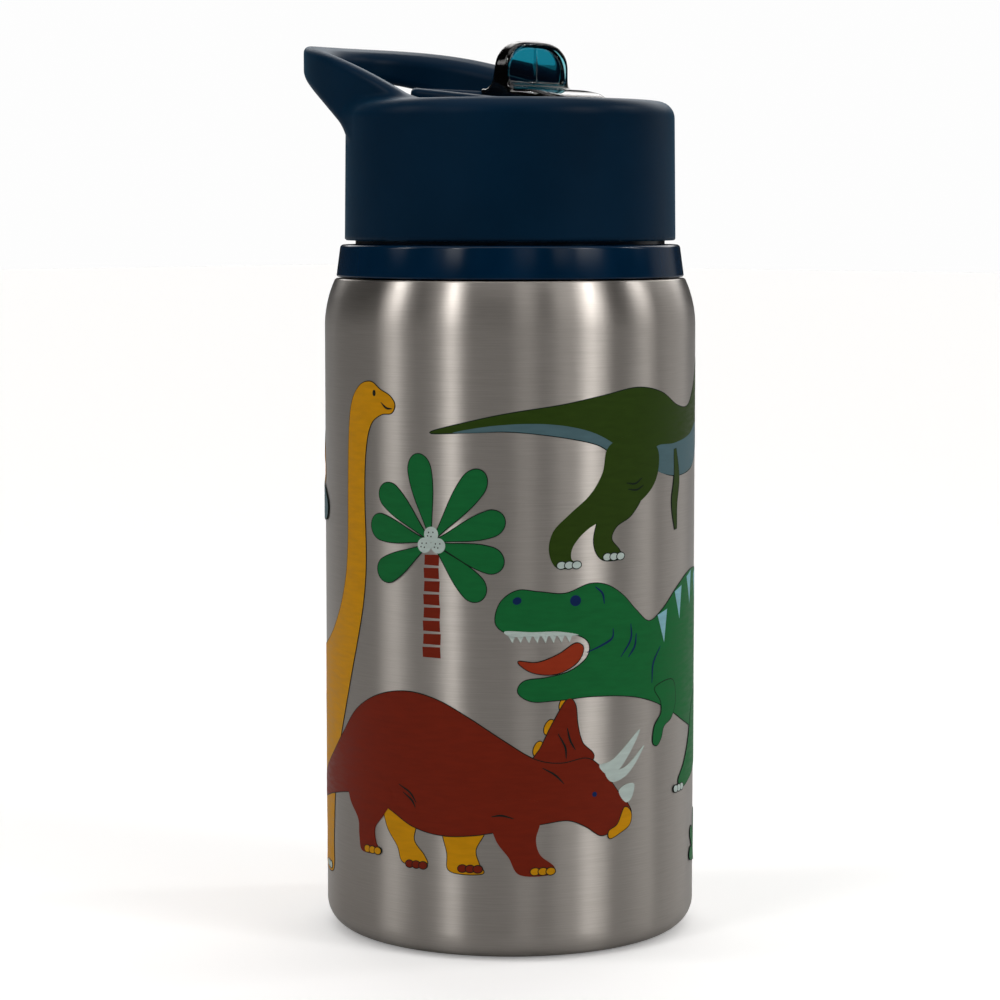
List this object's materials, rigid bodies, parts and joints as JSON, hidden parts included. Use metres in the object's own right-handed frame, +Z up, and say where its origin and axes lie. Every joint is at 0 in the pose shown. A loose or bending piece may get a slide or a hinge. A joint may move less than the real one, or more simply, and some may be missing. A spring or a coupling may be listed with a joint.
{
  "type": "insulated kids water bottle",
  "caption": "Double-wall steel drinking bottle for a child, with a screw lid that has a loop handle, a flip spout and a straw.",
  "frame": {"origin": "centre of the base, on the surface the bottle stands on", "axes": "+Z up along the bottle's axis; the handle reaches towards -X, the closed spout points to +X, and the spout's hinge line is along Y"},
  "size_m": [0.0844, 0.073, 0.1754],
  "materials": {
    "brushed_body": "brushed around the body, with printed pictures",
    "inner_steel": "satin",
    "solder_glass": "fused bead",
    "getter_metal": "pressed powder",
    "navy_gloss": "gloss",
    "navy_matte": "fine matte",
    "insert_plastic": "satin, food-safe",
    "clear_silicone": "milky, soft",
    "straw_plastic": "clear",
    "teal_plastic": "clear tinted, polished"
  },
  "bodies": {
    "bottle": {"outer_shell": "brushed_body", "outer_bottom": "inner_steel", "vacuum_seal": "solder_glass", "base_cover": "brushed_body", "inner_liner": "inner_steel", "inner_bottom": "inner_steel", "getter_cup": "inner_steel", "getter_tablet": "getter_metal", "neck_collar": "navy_gloss"},
    "lid_seal": {"lid_gasket": "clear_silicone"},
    "lid": {"lid_shell": "navy_matte", "threaded_insert": "insert_plastic", "vent_valve": "clear_silicone", "spout_seal": "clear_silicone", "straw_socket": "clear_silicone", "straw": "straw_plastic", "spout_pin_right": "inner_steel", "spout_pin_left": "inner_steel"},
    "spout": {"spout": "teal_plastic"}
  },
  "joints": [
    {"name": "lid_lift", "type": "slide", "parent": "bottle", "child": "lid_seal", "axis": [0, 0, 1], "range_m": [0, 0.0065]},
    {"name": "lid_turn", "type": "hinge", "parent": "lid_seal", "child": "lid", "pos_m": [0, 0, 0.1436], "axis": [0, 0, 1], "range_deg": [0, 576]},
    {"name": "spout_flip", "type": "hinge", "parent": "lid", "child": "spout", "pos_m": [0, 0, 0.1593], "axis": [0, -1, 0], "range_deg": [0, 90]}
  ],
  "couplings": [
    {"joint": "lid_lift", "follows": "lid_turn", "m_per_rad": 0.00063662}
  ]
}
